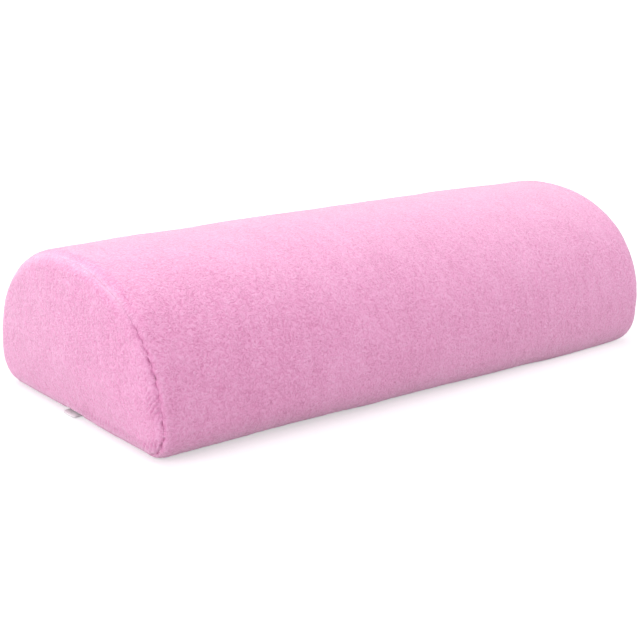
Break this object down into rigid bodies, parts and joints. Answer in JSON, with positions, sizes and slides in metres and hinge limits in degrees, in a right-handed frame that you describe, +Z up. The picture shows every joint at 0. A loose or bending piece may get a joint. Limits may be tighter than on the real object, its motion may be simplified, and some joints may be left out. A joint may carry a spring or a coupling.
{
  "type": "manicure hand rest",
  "caption": "Half-column foam hand rest in a sewn terry cover with D-shaped ends, closed by a coil zip along its flat base.",
  "frame": {"origin": "middle of the flat base, on the surface that the rest stands on", "axes": "+X along the cushion towards the right end, +Y to the rear, +Z up; the zip pull is at the -X end"},
  "size_m": [0.299, 0.13, 0.07],
  "materials": {
    "terry": "pink cotton terry, looped pile, matt",
    "foam": "off-white open-cell sponge, matt",
    "zip_tape": "white woven polyester tape",
    "zip_coil": "white nylon monofilament",
    "zip_metal": "white lacquer on die-cast metal"
  },
  "bodies": {
    "cushion": {"foam_core": "foam", "cover_body": "terry", "end_panel_left": "terry", "end_panel_right": "terry", "zip_tape_front": "zip_tape", "zip_tape_rear": "zip_tape", "zip_coil_front": "zip_coil", "zip_coil_rear": "zip_coil", "zip_top_stop_front": "zip_metal", "zip_top_stop_rear": "zip_metal", "zip_bottom_stop": "zip_metal"},
    "slider": {"zip_slider": "zip_metal"},
    "pull": {"zip_pull": "zip_metal"}
  },
  "joints": [
    {"name": "zip_run", "type": "slide", "parent": "cushion", "child": "slider", "axis": [1, 0, 0], "range_m": [0, 0.2438], "deforming": ["zip_coil_front", "zip_coil_rear"]},
    {"name": "pull_swing", "type": "hinge", "parent": "slider", "child": "pull", "pos_m": [-0.12195, 0.006, 0.00185], "axis": [0, -1, 0], "range_deg": [0, 176]}
  ]
}
